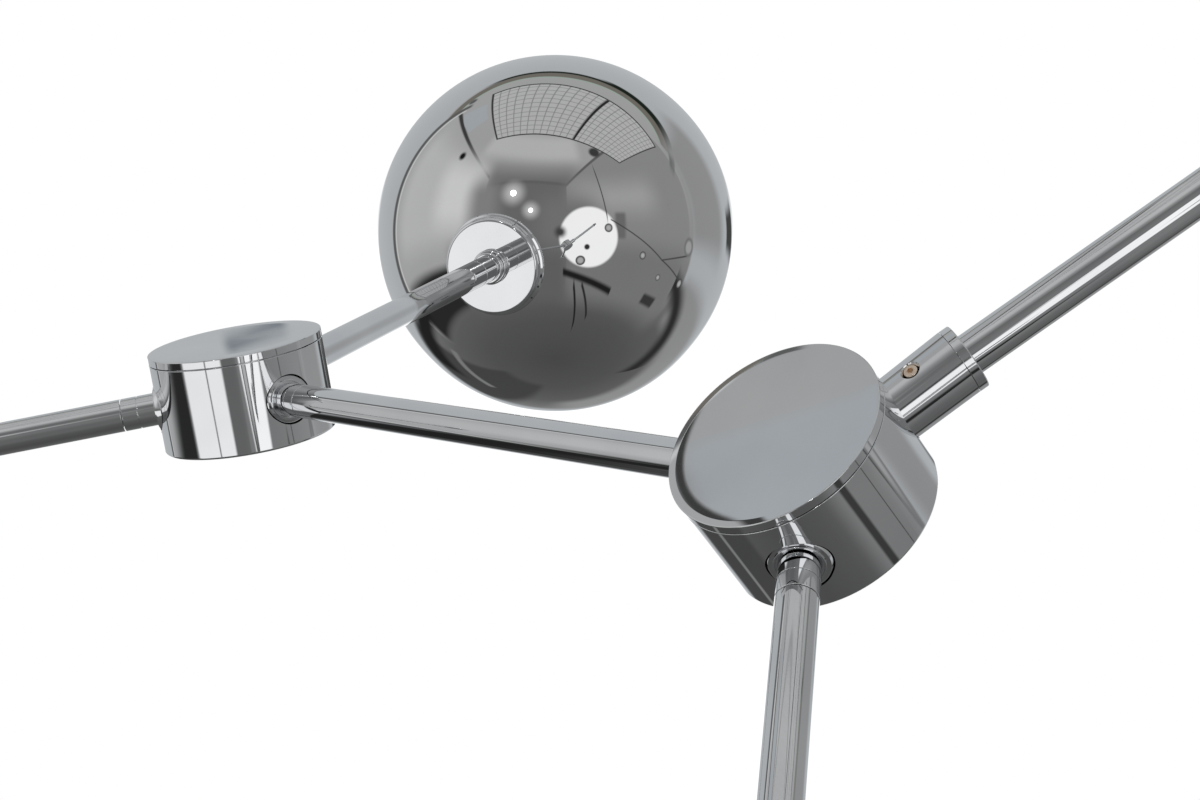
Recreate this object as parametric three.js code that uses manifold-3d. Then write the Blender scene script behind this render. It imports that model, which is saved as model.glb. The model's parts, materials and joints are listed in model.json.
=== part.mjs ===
// A section of a branching, ball-jointed chandelier: two round drum hubs, each with three arm
// sockets at 120 degrees. Hub B hangs from a rod held in a plain sleeve with a locking screw.
// A straight arm joins it to hub A, which carries a round glass lamp and a side arm.
// Millimetres, +Z up. The origin is the centre of the flat underside of hub B's drum.
//
// Local frames: in a hub, +Z is the drum's axis and points through the lid. In a socket, +X points
// straight out of the drum. In an arm, +X runs along the arm and the origin is the ball's centre.

import * as THREE from "three";
import { mergeVertices } from "three/addons/utils/BufferGeometryUtils.js";
import Module from "manifold-3d";

const wasm = await Module();
wasm.setup();

// ---------------------------------------------------------------- driving dimensions

const ROD = { radius: 6, bore: 4.3 };
const GAP = 0.3; // clearance between two pieces that seat on each other
const WIRE_BORE = 2; // radius of the wire passage through studs and nipples
const SHANK_RADIUS = ROD.bore - GAP; // threaded shank that screws into a rod

const HUB = { radius: 32, wall: 2, low: -16.7, rim: 16.5, top: 19.8, edge: 0.8 };
const SOCKET = {
  out: 26.4, // ball centre, from the hub's axis
  hole: 9.1,
  pocket: 11.3,
  boss: 13,
  bossStart: 16.6,
};
const BALL = { radius: 10, tail: -9.2, neckEnd: 18, shankEnd: 28 };
const SLEEVE = { hole: 9.9, mouth: 52, baseRadius: 9.5, mouthRadius: 9.9, bore: 7.6 };
const GRUB = { radius: 2, out: 40, lean: 9, tip: 6.6, head: 9.5 };

// Each arm: the socket it leaves, its rest swing and lift off the socket's axis, and its length.
const LAYOUT = {
  hubB: { lean: 50.1, heading: -130.8, sockets: { link: -97.7, down: 22.3, up: 142.3 } },
  hubA: { lean: 15.2, heading: -125.2, sockets: { link: 73.7, lamp: -166.3, side: -46.3 } },
  link: { swing: -4.9, lift: -8.3, length: 268 },
  down: { swing: 1.4, lift: 3.7, length: 150 },
  up: { swing: -2.0, lift: -1.4, length: 160 },
  side: { swing: -5.4, lift: -1.7, length: 150 },
  lamp: { swing: 2.4, lift: -1.8, length: 321 },
};

const GLOBE = { radius: 86.3, wall: 2.5, neckOuter: 18.5, neckInner: 16.2, neckRim: -86.9 };
const CAP = { face: -89.5, lip: -83.6, faceRadius: 20.7, lipRadius: 23.8, hole: 5.3 };

const ROUND = { drum: 28, socket: 18, rod: 14, ball: 14, globe: 24, small: 14 }; // facets round each shape

// ---------------------------------------------------------------- finishes

function finish(color, roughness, metalness) {
  return () => new THREE.MeshStandardMaterial({ color, roughness, metalness });
}
const chrome = finish(0xb9bec5, 0.06, 1);
const steel = finish(0x8c8f92, 0.35, 1);
const brass = finish(0xb08a4e, 0.3, 1);
const nylon = finish(0xe6e2d6, 0.5, 0);
const rubber = finish(0x232323, 0.8, 0);
const cableSheath = finish(0xd8d8d4, 0.45, 0);
const ceramic = finish(0xf0ece2, 0.4, 0);
const bulbGlass = finish(0xf4f1e8, 0.15, 0);
const smokedGlass = finish(0x4a5058, 0.04, 0.8);

// ---------------------------------------------------------------- geometry helpers

const rad = THREE.MathUtils.degToRad;

// Points of an arc in a profile: centre on the axis at `along`, angles measured from +axis.
function arc(along, radius, fromDeg, toDeg, steps) {
  const points = [];
  for (let i = 0; i <= steps; i += 1) {
    const angle = rad(fromDeg + ((toDeg - fromDeg) * i) / steps);
    points.push([along + radius * Math.cos(angle), radius * Math.sin(angle)]);
  }
  return points;
}

// Points of a quarter round between two straight runs of a profile.
function corner(along, radius, size, fromDeg, toDeg) {
  return arc(0, size, fromDeg, toDeg, 2).map(([x, r]) => [along + x, radius + r]);
}

// Turns a profile of [along, radius] points about the local X axis into a closed surface.
// The profile either closes on itself or has both ends on the axis.
function turned(profile, facets) {
  const onAxis = profile[0][1] === 0 && profile[profile.length - 1][1] === 0;
  let area = 0;
  profile.forEach(([x, r], i) => {
    const [nextX, nextR] = profile[(i + 1) % profile.length];
    area += r * nextX - nextR * x;
  });
  const ordered = area < 0 ? [...profile].reverse() : [...profile];
  if (!onAxis) ordered.push(ordered[0]);
  const outline = ordered.map(([x, r]) => new THREE.Vector2(r, x));
  return new THREE.LatheGeometry(outline, facets).rotateZ(-Math.PI / 2);
}

// A solid rod along local X from `start` to `end`.
function bar(radius, start, end, facets) {
  return turned([[start, 0], [start, radius], [end, radius], [end, 0]], facets);
}

// A tube or ring along local X.
function ring(inner, outer, start, end, facets) {
  return turned([[start, inner], [start, outer], [end, outer], [end, inner]], facets);
}

function solidOf(geometry) {
  const bare = new THREE.BufferGeometry();
  bare.setAttribute("position", geometry.getAttribute("position"));
  bare.setIndex(geometry.index);
  const merged = mergeVertices(bare, 1e-4);
  return new wasm.Manifold(
    new wasm.Mesh({
      numProp: 3,
      vertProperties: merged.attributes.position.array,
      triVerts: new Uint32Array(merged.index.array),
    }),
  );
}

function geometryOf(solid) {
  const mesh = solid.getMesh();
  const geometry = new THREE.BufferGeometry();
  geometry.setAttribute("position", new THREE.BufferAttribute(new Float32Array(mesh.vertProperties), 3));
  geometry.setIndex(new THREE.BufferAttribute(new Uint32Array(mesh.triVerts), 1));
  return geometry.toNonIndexed();
}

// The geometry turned about the hub's axis, for a cut or boss that points at a socket.
function toward(geometry, angle) {
  return geometry.clone().rotateZ(rad(angle));
}

function piece(parent, name, geometry, material) {
  geometry.computeVertexNormals();
  const mesh = new THREE.Mesh(geometry, material());
  mesh.name = name;
  parent.add(mesh);
  return mesh;
}

// A frame inside `parent`, moved along X by `out` and turned by swing (about Z) and lift.
function frame(parent, out, swing, lift) {
  const group = new THREE.Group();
  group.position.set(out, 0, 0);
  group.rotation.set(0, rad(-lift), rad(swing), "ZYX");
  parent.add(group);
  return group;
}

// ---------------------------------------------------------------- hub pieces

// Puts a profile written along X onto the hub's axis, Z.
function onHubAxis(geometry) {
  return geometry.rotateY(-Math.PI / 2);
}

// The cut through the drum wall for a ball: a round hole, then a cone that the ball bears on,
// then the pocket that holds the seat and clamp rings.
function ballSocketCut() {
  return turned(
    [
      [SOCKET.bossStart - 1, 0],
      [SOCKET.bossStart - 1, SOCKET.pocket],
      [SOCKET.out + 0.8, SOCKET.pocket],
      [SOCKET.out + 4.9, SOCKET.hole],
      [HUB.radius + 2, SOCKET.hole],
      [HUB.radius + 2, 0],
    ],
    ROUND.socket,
  );
}

// The cut for the sleeve: the same pocket, with a wider hole and a flat lip for the flange.
function sleeveCut() {
  const lip = 28.6;
  return turned(
    [
      [SOCKET.bossStart - 1, 0],
      [SOCKET.bossStart - 1, SOCKET.pocket],
      [lip, SOCKET.pocket],
      [lip, SLEEVE.hole],
      [HUB.radius + 2, SLEEVE.hole],
      [HUB.radius + 2, 0],
    ],
    ROUND.socket,
  );
}

// A cup with a floor, a rounded lower edge, and an inner boss behind each socket hole.
function drum(cuts) {
  const inside = HUB.radius - HUB.wall;
  const cup = [
    [HUB.low, 0],
    ...corner(HUB.low + HUB.edge, HUB.radius - HUB.edge, HUB.edge, 180, 90),
    [HUB.rim, HUB.radius],
    [HUB.rim, inside],
    [HUB.low + HUB.wall, inside],
    [HUB.low + HUB.wall, 0],
  ];
  const core = solidOf(onHubAxis(bar(HUB.radius - 1, HUB.low + 1, HUB.rim - 1, ROUND.drum)));
  let body = solidOf(onHubAxis(turned(cup, ROUND.drum)));
  const boss = bar(SOCKET.boss, SOCKET.bossStart, HUB.radius, ROUND.socket);
  for (const [angle] of cuts) {
    body = body.add(solidOf(toward(boss, angle)).intersect(core));
  }
  for (const [angle, cut] of cuts) {
    body = body.subtract(solidOf(toward(cut, angle)));
  }
  return geometryOf(body);
}

// A shallow cover with a rounded edge and a spigot that drops into the drum.
function lid() {
  const underside = HUB.rim + GAP;
  const spigotOuter = HUB.radius - HUB.wall - GAP;
  const spigotInner = spigotOuter - 1.5;
  const spigotEnd = underside - 2;
  const profile = [
    [HUB.top, 0],
    ...corner(HUB.top - HUB.edge, HUB.radius - HUB.edge, HUB.edge, 0, 90),
    [underside, HUB.radius],
    [underside, spigotOuter],
    [spigotEnd, spigotOuter],
    [spigotEnd, spigotInner],
    [HUB.top - 1.8, spigotInner],
    [HUB.top - 1.8, 0],
  ];
  return onHubAxis(turned(profile, ROUND.drum));
}

// Square insulating block on the hub's floor, with two screw wells from above.
function terminalBlock() {
  const width = 17;
  const height = 16;
  const base = HUB.low + HUB.wall + GAP;
  const block = new THREE.BoxGeometry(width, width, height).translate(0, 0, base + height / 2);
  let body = solidOf(block);
  for (const side of [-4, 4]) {
    const well = onHubAxis(bar(2.2, base + height - 9, base + height + 1, 12)).translate(side, 0, 0);
    body = body.subtract(solidOf(well));
  }
  return geometryOf(body);
}

// Nylon ring that presses on the back of the ball, coned to suit it. Origin at the ball's centre.
function seatRing() {
  const outer = SOCKET.pocket - GAP;
  return turned([[-2.6, 10.2], [-2.6, outer], [-6.5, outer], [-6.5, 8.35]], ROUND.small);
}

// Threaded ring that closes the pocket behind the seat ring. Origin at the ball's centre.
function clampRing() {
  return ring(8, SOCKET.pocket - GAP, -9.5, -6.8, ROUND.small);
}

// ---------------------------------------------------------------- arm pieces

// Ball, neck and threaded shank in one turned piece, bored for the wires.
function ballStud() {
  const tailAngle = THREE.MathUtils.radToDeg(Math.acos(BALL.tail / BALL.radius));
  const neckAngle = THREE.MathUtils.radToDeg(Math.asin(ROD.radius / BALL.radius));
  const profile = [
    [BALL.tail, WIRE_BORE],
    ...arc(0, BALL.radius, tailAngle, neckAngle, 6),
    [BALL.neckEnd, ROD.radius],
    [BALL.neckEnd, SHANK_RADIUS],
    [BALL.shankEnd, SHANK_RADIUS],
    [BALL.shankEnd, WIRE_BORE],
  ];
  return turned(profile, ROUND.ball);
}

function armTube(start, end) {
  return ring(ROD.bore, ROD.radius, start, end, ROUND.rod);
}

function feedCable(length) {
  const margin = BALL.shankEnd + 4;
  return bar(1.5, margin, length - margin, 10);
}

// ---------------------------------------------------------------- sleeve and hanging rod

// Direction across the sleeve's axis that the locking screw points along.
function acrossSleeve(geometry) {
  return geometry.rotateY(-Math.PI / 2).rotateX(rad(GRUB.lean)).translate(GRUB.out, 0, 0);
}

// Flanged sleeve with a slight outward taper and a side hole for the locking screw.
function portSleeve() {
  const flangeBack = SOCKET.out - 6.5;
  const flangeFront = 28.3;
  const step = 33;
  const wireHole = 4.5;
  const body = solidOf(
    turned(
      [
        [flangeBack, wireHole],
        [flangeBack, SOCKET.pocket - GAP],
        [flangeFront, SOCKET.pocket - GAP],
        [flangeFront, SLEEVE.baseRadius],
        [SLEEVE.mouth, SLEEVE.mouthRadius],
        [SLEEVE.mouth, SLEEVE.bore],
        [step, SLEEVE.bore],
        [step, wireHole],
      ],
      ROUND.socket,
    ),
  );
  const screwHole = solidOf(acrossSleeve(bar(GRUB.radius + GAP, 5, 12, 12)));
  return geometryOf(body.subtract(screwHole));
}

// Headless locking screw with a hexagon recess.
function grubScrew() {
  const body = solidOf(acrossSleeve(bar(GRUB.radius, GRUB.tip, GRUB.head, 12)));
  const recess = solidOf(acrossSleeve(bar(1, GRUB.head - 1.4, GRUB.head + 1, 6)));
  return geometryOf(body.subtract(recess));
}

// Ring on the rod that closes the sleeve's mouth, with a short spigot inside it. The rod leans a little
// in the sleeve, so the gap behind the ring is wider than GAP.
function endRing() {
  const inner = ROD.radius + GAP;
  const outer = SLEEVE.mouthRadius;
  const front = 3.6;
  const back = 0.55;
  const spigot = [[-4, inner], [-4, 7.1], [back, 7.1]];
  return turned([...spigot, [back, outer], [front, outer], [front, inner]], ROUND.socket);
}

// Threaded fitting at the rod's free end, with a shoulder and a bored stub.
function hangerNipple(length) {
  const shoulder = length + GAP;
  return turned(
    [
      [length - 12, WIRE_BORE],
      [length - 12, SHANK_RADIUS],
      [shoulder, SHANK_RADIUS],
      [shoulder, 8],
      [shoulder + 4, 8],
      [shoulder + 4, 5],
      [shoulder + 18, 5],
      [shoulder + 18, WIRE_BORE],
    ],
    ROUND.rod,
  );
}

// ---------------------------------------------------------------- lamp pieces
// Their origin is the globe's centre, with +X pointing away from the arm.

const NIPPLE = { shankStart: -120, ferruleStart: -110, ferruleEnd: -95.4, end: -75, radius: 5 };

// Ferrule on the end of the arm with the thread that carries the cap and the lampholder.
function lampNipple() {
  return turned(
    [
      [NIPPLE.shankStart, WIRE_BORE],
      [NIPPLE.shankStart, SHANK_RADIUS],
      [NIPPLE.ferruleStart, SHANK_RADIUS],
      [NIPPLE.ferruleStart, ROD.radius],
      [NIPPLE.ferruleEnd, ROD.radius],
      [NIPPLE.ferruleEnd, NIPPLE.radius],
      [NIPPLE.end, NIPPLE.radius],
      [NIPPLE.end, WIRE_BORE],
    ],
    ROUND.rod,
  );
}

// Round nut between the ferrule and the cap.
function collarNut() {
  return ring(CAP.hole, 8, NIPPLE.ferruleEnd + GAP, CAP.face - GAP, ROUND.rod);
}

// Spun cup with a rounded shoulder and a flared lip that stops just short of the glass.
function cap() {
  const skin = 1.2;
  const shoulder = 1.6;
  const wallRadius = CAP.faceRadius + shoulder;
  return turned(
    [
      [CAP.face, CAP.hole],
      ...corner(CAP.face + shoulder, CAP.faceRadius, shoulder, 180, 90),
      [CAP.lip - 1.4, wallRadius + 0.2],
      [CAP.lip, CAP.lipRadius],
      [CAP.lip, CAP.lipRadius - skin],
      [CAP.lip - 1.2, wallRadius - skin + 0.3],
      [CAP.face + shoulder, wallRadius - skin],
      [CAP.face + skin, CAP.faceRadius - 0.4],
      [CAP.face + skin, CAP.hole],
    ],
    ROUND.globe,
  );
}

function lampholder() {
  const back = CAP.face + 1.5;
  const seat = -70;
  const front = -56;
  return turned(
    [
      [back, CAP.hole],
      [back, 13],
      [front, 13],
      [front, 9],
      [seat, 9],
      [seat, WIRE_BORE],
      [NIPPLE.end + 0.5, WIRE_BORE],
      [NIPPLE.end + 0.5, CAP.hole],
    ],
    ROUND.small,
  );
}

// Capsule lamp with a push-in base.
function bulb() {
  const base = -69;
  const baseEnd = -55;
  const dome = -28;
  const profile = [[base, 0], [base, 7.5], [baseEnd, 7.5], [baseEnd, 7], ...arc(dome, 7, 90, 0, 4)];
  return turned(profile, ROUND.small);
}

function neckGasket() {
  return ring(13.6, GLOBE.neckOuter, CAP.face + 1.5, GLOBE.neckRim - GAP, ROUND.small);
}

// Quarter-turn ring round the glass neck, inside the cap.
function bayonetRing() {
  return ring(GLOBE.neckOuter + GAP, 20.6, GLOBE.neckRim + GAP, -84.9, ROUND.globe);
}

// Blown shell with a short open neck.
function globe() {
  const inside = GLOBE.radius - GLOBE.wall;
  const neckAngle = (r, radius) => 180 - THREE.MathUtils.radToDeg(Math.asin(r / radius));
  return turned(
    [
      ...arc(0, GLOBE.radius, 0, neckAngle(GLOBE.neckOuter, GLOBE.radius), 12),
      [GLOBE.neckRim, GLOBE.neckOuter],
      [GLOBE.neckRim, GLOBE.neckInner],
      ...arc(0, inside, neckAngle(GLOBE.neckInner, inside), 0, 12),
    ],
    ROUND.globe,
  );
}

// ---------------------------------------------------------------- assembly

const chandelier = new THREE.Group();

// A hub with its lid and block; returns its group, so that sockets and arms can be added.
function addHub(name, layout, cuts) {
  const hub = new THREE.Group();
  hub.rotation.set(0, rad(layout.lean), rad(layout.heading), "ZYX");
  chandelier.add(hub);
  piece(hub, `drum_${name}`, drum(cuts), chrome);
  piece(hub, `lid_${name}`, lid(), chrome);
  piece(hub, `terminal_block_${name}`, terminalBlock(), ceramic);
  for (const [socketName, angle] of Object.entries(layout.sockets)) {
    const socket = frame(socketFrame(hub, angle), SOCKET.out, 0, 0);
    piece(socket, `clamp_ring_${name}_${socketName}`, clampRing(), steel);
  }
  return hub;
}

function socketFrame(hub, angle) {
  return frame(hub, 0, angle, 0);
}

// Seat ring and ball stud in a socket; returns the arm's frame, whose origin is the ball.
function addBallJoint(hub, angle, name, rest) {
  const pocket = frame(socketFrame(hub, angle), SOCKET.out, 0, 0);
  piece(pocket, `seat_ring_${name}`, seatRing(), nylon);
  const arm = frame(pocket, 0, rest.swing, rest.lift);
  piece(arm, `ball_stud_${name}`, ballStud(), chrome);
  return arm;
}

// A tube between two ball studs, the second one facing back along the arm.
function addLinkTube(arm, name, length) {
  piece(arm, `tube_${name}`, armTube(BALL.neckEnd + GAP, length - BALL.neckEnd - GAP), chrome);
  const far = frame(arm, length, 180, 0);
  piece(far, `ball_stud_${name}_far`, ballStud(), chrome);
}

const { hubA: layoutA, hubB: layoutB } = LAYOUT;
const hubB = addHub("b", layoutB, [
  [layoutB.sockets.link, ballSocketCut()],
  [layoutB.sockets.down, ballSocketCut()],
  [layoutB.sockets.up, sleeveCut()],
]);
const hubA = addHub(
  "a",
  layoutA,
  Object.values(layoutA.sockets).map((angle) => [angle, ballSocketCut()]),
);

// The underside's centre of hub B is the origin.
hubB.position.set(0, 0, -HUB.low).applyEuler(hubB.rotation);

const linkArm = addBallJoint(hubB, layoutB.sockets.link, "link", LAYOUT.link);
addLinkTube(linkArm, "link", LAYOUT.link.length);
piece(linkArm, "cable_link", feedCable(LAYOUT.link.length), cableSheath);

// Hub A stands where its link socket meets the far ball of the link arm.
chandelier.updateMatrixWorld(true);
const farBall = linkArm.localToWorld(new THREE.Vector3(LAYOUT.link.length, 0, 0));
const socketA = new THREE.Vector3(SOCKET.out, 0, 0)
  .applyAxisAngle(new THREE.Vector3(0, 0, 1), rad(layoutA.sockets.link))
  .applyEuler(hubA.rotation);
hubA.position.copy(farBall.sub(socketA));
const farPocket = frame(socketFrame(hubA, layoutA.sockets.link), SOCKET.out, 0, 0);
piece(farPocket, "seat_ring_link_far", seatRing(), nylon);

const downArm = addBallJoint(hubB, layoutB.sockets.down, "down", LAYOUT.down);
addLinkTube(downArm, "down", LAYOUT.down.length);

const sideArm = addBallJoint(hubA, layoutA.sockets.side, "side", LAYOUT.side);
addLinkTube(sideArm, "side", LAYOUT.side.length);

const upSocket = socketFrame(hubB, layoutB.sockets.up);
piece(upSocket, "port_sleeve", portSleeve(), chrome);
piece(upSocket, "grub_screw", grubScrew(), brass);
const upRod = frame(upSocket, SLEEVE.mouth, LAYOUT.up.swing, LAYOUT.up.lift);
piece(upRod, "end_ring", endRing(), chrome);
piece(upRod, "hanging_rod", armTube(-15, LAYOUT.up.length), chrome);
piece(upRod, "hanger_nipple", hangerNipple(LAYOUT.up.length), steel);

const lampArm = addBallJoint(hubA, layoutA.sockets.lamp, "lamp", LAYOUT.lamp);
const lamp = frame(lampArm, LAYOUT.lamp.length, 0, 0);
const lampTubeEnd = LAYOUT.lamp.length + NIPPLE.ferruleStart - GAP;
piece(lampArm, "tube_lamp", armTube(BALL.neckEnd + GAP, lampTubeEnd), chrome);
piece(lampArm, "cable_lamp", bar(1.5, 32, LAYOUT.lamp.length + NIPPLE.shankStart - 3, 10), cableSheath);
piece(lamp, "lamp_nipple", lampNipple(), chrome);
piece(lamp, "collar_nut", collarNut(), chrome);
piece(lamp, "lamp_cap", cap(), chrome);
piece(lamp, "lampholder", lampholder(), ceramic);
piece(lamp, "bulb", bulb(), bulbGlass);
piece(lamp, "neck_gasket", neckGasket(), rubber);
piece(lamp, "bayonet_ring", bayonetRing(), steel);
piece(lamp, "glass_globe", globe(), smokedGlass);

export default chandelier;
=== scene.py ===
"""Looks for a section of a branching chandelier: two polished drum hubs on ball-jointed rods, and a
mirror-finish glass globe on the end of the longest one.

Each CAD node is replaced by a finely turned mesh in the same place. Profiles are in millimetres about
the piece's own X axis: a point is (along, radius), or (along, radius, fillet). Places are in metres,
in the frame's axes, and are worked out from the frame's joints.
"""
import json
import math

import bpy
import numpy as np
from mathutils import Matrix, Vector

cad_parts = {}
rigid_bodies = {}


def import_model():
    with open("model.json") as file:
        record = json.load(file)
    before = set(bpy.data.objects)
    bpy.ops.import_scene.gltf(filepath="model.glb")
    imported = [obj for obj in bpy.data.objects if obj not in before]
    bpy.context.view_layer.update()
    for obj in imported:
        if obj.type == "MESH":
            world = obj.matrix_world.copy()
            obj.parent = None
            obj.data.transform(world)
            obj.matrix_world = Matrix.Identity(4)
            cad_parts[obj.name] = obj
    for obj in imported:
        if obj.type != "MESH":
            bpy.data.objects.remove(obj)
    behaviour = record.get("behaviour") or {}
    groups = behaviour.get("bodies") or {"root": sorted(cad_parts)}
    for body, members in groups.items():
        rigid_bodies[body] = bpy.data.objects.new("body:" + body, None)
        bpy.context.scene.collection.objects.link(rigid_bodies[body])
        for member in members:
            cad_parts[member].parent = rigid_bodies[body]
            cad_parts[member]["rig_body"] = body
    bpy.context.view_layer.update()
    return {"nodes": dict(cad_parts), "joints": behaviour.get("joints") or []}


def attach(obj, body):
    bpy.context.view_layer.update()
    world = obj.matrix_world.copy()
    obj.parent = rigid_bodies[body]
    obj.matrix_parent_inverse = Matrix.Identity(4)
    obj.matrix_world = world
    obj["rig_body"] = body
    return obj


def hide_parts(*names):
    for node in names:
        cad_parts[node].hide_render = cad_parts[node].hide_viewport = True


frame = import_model()

# ---------------------------------------------------------------- driving dimensions, millimetres

MM = 0.001
GAP = 0.3
SPLIT_DEG = 35  # profile corners sharper than this stay crisp

ROD_RADIUS = 6
ROD_BORE = 4.3
SHANK_RADIUS = 4
WIRE_BORE = 2

HUB_RADIUS = 32
HUB_INSIDE = 30
HUB_LOW = -16.7
HUB_RIM = 16.5
HUB_TOP = 19.8
CROWN = [(26.5, 0), (29.7, 1.4), (30, 4), (31.7, 4.6), (32, 90)]  # the lid's slope in degrees at each radius

SOCKET_OUT = 26.4  # from the hub's axis to the ball's centre
SOCKET_HOLE = 9.1
SOCKET_POCKET = 11.3
BOSS_START = 16.6

BALL_RADIUS = 10
BALL_TAIL = -9.2
BALL_FACE = 5.2  # the flat that shows in the socket's hole
FACE_RADIUS = 8.5
FERRULE = 12
NECK_END = 18
SHANK_END = 28

SLEEVE_HOLE = 9.9
SLEEVE_MOUTH = 52
RING_BACK = 0.55
MOUTH_GAP = 0.12
GRUB_OUT = 40

GLOBE_RADIUS = 86.3
GLOBE_WALL = 2.5
NECK_OUTER = 18.5
NECK_INNER = 16.2
NECK_RIM = -86.9
CAP_FACE = -89.5
CAP_LIP = -83.6
FERRULE_START = -110
FERRULE_END = -95.4

SIDES = {"globe": 160, "hub": 144, "socket": 96, "rod": 72, "small": 48}

# ---------------------------------------------------------------- places, from the frame's joints

JOINTS = {joint["name"]: joint for joint in frame["joints"]}
UP = Vector((0, 0, 1))


def axis_of(joint):
    return Vector(JOINTS[joint]["axis"]).normalized()


def point_of(joint):
    return Vector(JOINTS[joint]["pos_m"])


def place(origin, along, up=UP):
    """A frame at origin whose X axis is along, and whose Z axis leans towards up."""
    x = along.normalized()
    z = (up - up.project(x)).normalized()
    matrix = Matrix((x, z.cross(x), z)).transposed().to_4x4()
    matrix.translation = origin
    return matrix


def reach(node, matrix):
    """How far a CAD node goes along a frame's X axis, in millimetres."""
    inverse = matrix.inverted()
    return max((inverse @ vertex.co).x for vertex in frame["nodes"][node].data.vertices) / MM


class Hub:
    """Where a hub stands: its own frame, and one frame for each socket, all at the drum's centre."""

    def __init__(self, lift_joint, swivel_joint, sockets):
        self.axis = axis_of(lift_joint)
        self.centre = point_of(swivel_joint) - axis_of(swivel_joint) * SOCKET_OUT * MM
        self.frame = place(self.centre, self.axis, axis_of(swivel_joint))
        self.sockets = {name: place(self.centre, along, self.axis) for name, along in sockets.items()}

    def pocket(self, name):
        """The frame of a socket moved out to the ball's centre."""
        return self.sockets[name] @ Matrix.Translation((SOCKET_OUT * MM, 0, 0))


SLEEVE_AXIS = -(axis_of("link_swivel") + axis_of("down_swivel")).normalized()
HUB_B = Hub("lid_b_lift", "link_swivel", {
    "link": axis_of("link_swivel"),
    "down": axis_of("down_swivel"),
    "up": SLEEVE_AXIS,
})
HUB_A = Hub("lid_a_lift", "hub_a_swivel", {
    "link": axis_of("hub_a_swivel"),
    "lamp": axis_of("lamp_swivel"),
    "side": axis_of("side_swivel"),
})
LINK = place(point_of("link_swivel"), axis_of("link_spin"))
LINK_FAR = place(point_of("hub_a_tilt"), -axis_of("link_spin"))
DOWN = place(point_of("down_swivel"), axis_of("down_spin"), Vector((1, 0, 0)))
SIDE = place(point_of("side_swivel"), axis_of("side_spin"))
LAMP_ARM = place(point_of("lamp_swivel"), axis_of("lamp_spin"))
LAMP = place(point_of("collar_nut_turn"), axis_of("collar_nut_turn"))
SLEEVE = place(HUB_B.centre, SLEEVE_AXIS, axis_of("grub_screw_back_out"))
HANGER = place(point_of("end_ring_turn"), axis_of("end_ring_turn"))
LINK_LENGTH = (LINK_FAR.translation - LINK.translation).length / MM
LAMP_REACH = (LAMP.translation - LAMP_ARM.translation).length / MM

# ---------------------------------------------------------------- profiles


def arc(along, radius, from_deg, to_deg, steps, centre_radius=0):
    """Points of an arc, with angles measured from the positive axis."""
    angles = [math.radians(from_deg + (to_deg - from_deg) * i / steps) for i in range(steps + 1)]
    return [(along + radius * math.cos(a), centre_radius + radius * math.sin(a)) for a in angles]


def rounded(before, corner, after, radius, steps=5):
    """Points of the fillet that joins two straight runs at a corner."""
    corner = Vector(corner)
    back = (Vector(before) - corner).normalized()
    ahead = (Vector(after) - corner).normalized()
    half = back.angle(ahead) / 2
    centre = corner + (back + ahead).normalized() * radius / math.sin(half)
    first = corner + back * radius / math.tan(half) - centre
    last = corner + ahead * radius / math.tan(half) - centre
    start = math.atan2(first.y, first.x)
    sweep = (math.atan2(last.y, last.x) - start + math.pi) % (2 * math.pi) - math.pi
    angles = [start + sweep * i / steps for i in range(steps + 1)]
    return [(centre.x + radius * math.cos(a), centre.y + radius * math.sin(a)) for a in angles]


def outline(points):
    """The profile with its fillets drawn, as an array, wound so that material is on its left."""
    drawn = []
    for i, point in enumerate(points):
        if len(point) == 2:
            drawn.append(tuple(point))
        else:
            before = points[i - 1][:2]
            after = points[(i + 1) % len(points)][:2]
            drawn += rounded(before, point[:2], after, point[2])
    line = np.array(drawn, float)
    ahead = np.roll(line, -1, axis=0)
    area = np.sum(line[:, 0] * ahead[:, 1] - ahead[:, 0] * line[:, 1])
    return line if area > 0 else line[::-1]


def runs_of(line):
    """Each straight run of a profile: its ends, and the surface normal at each end."""
    on_axis = line[0, 1] == 0 and line[-1, 1] == 0
    starts = line[:-1] if on_axis else line
    ends = line[1:] if on_axis else np.roll(line, -1, axis=0)
    step = ends - starts
    length = np.linalg.norm(step, axis=1)
    normal = np.stack([step[:, 1], -step[:, 0]], axis=1) / length[:, None]
    at_start = normal.copy()
    at_end = normal.copy()
    for i in range(len(starts)):
        j = i - 1
        if on_axis and i == 0:
            continue
        if normal[i] @ normal[j] > math.cos(math.radians(SPLIT_DEG)):
            mixed = normal[i] * length[i] ** 2 + normal[j] * length[j] ** 2
            at_start[i] = at_end[j] = mixed / np.linalg.norm(mixed)
    return starts, ends, at_start, at_end


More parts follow.
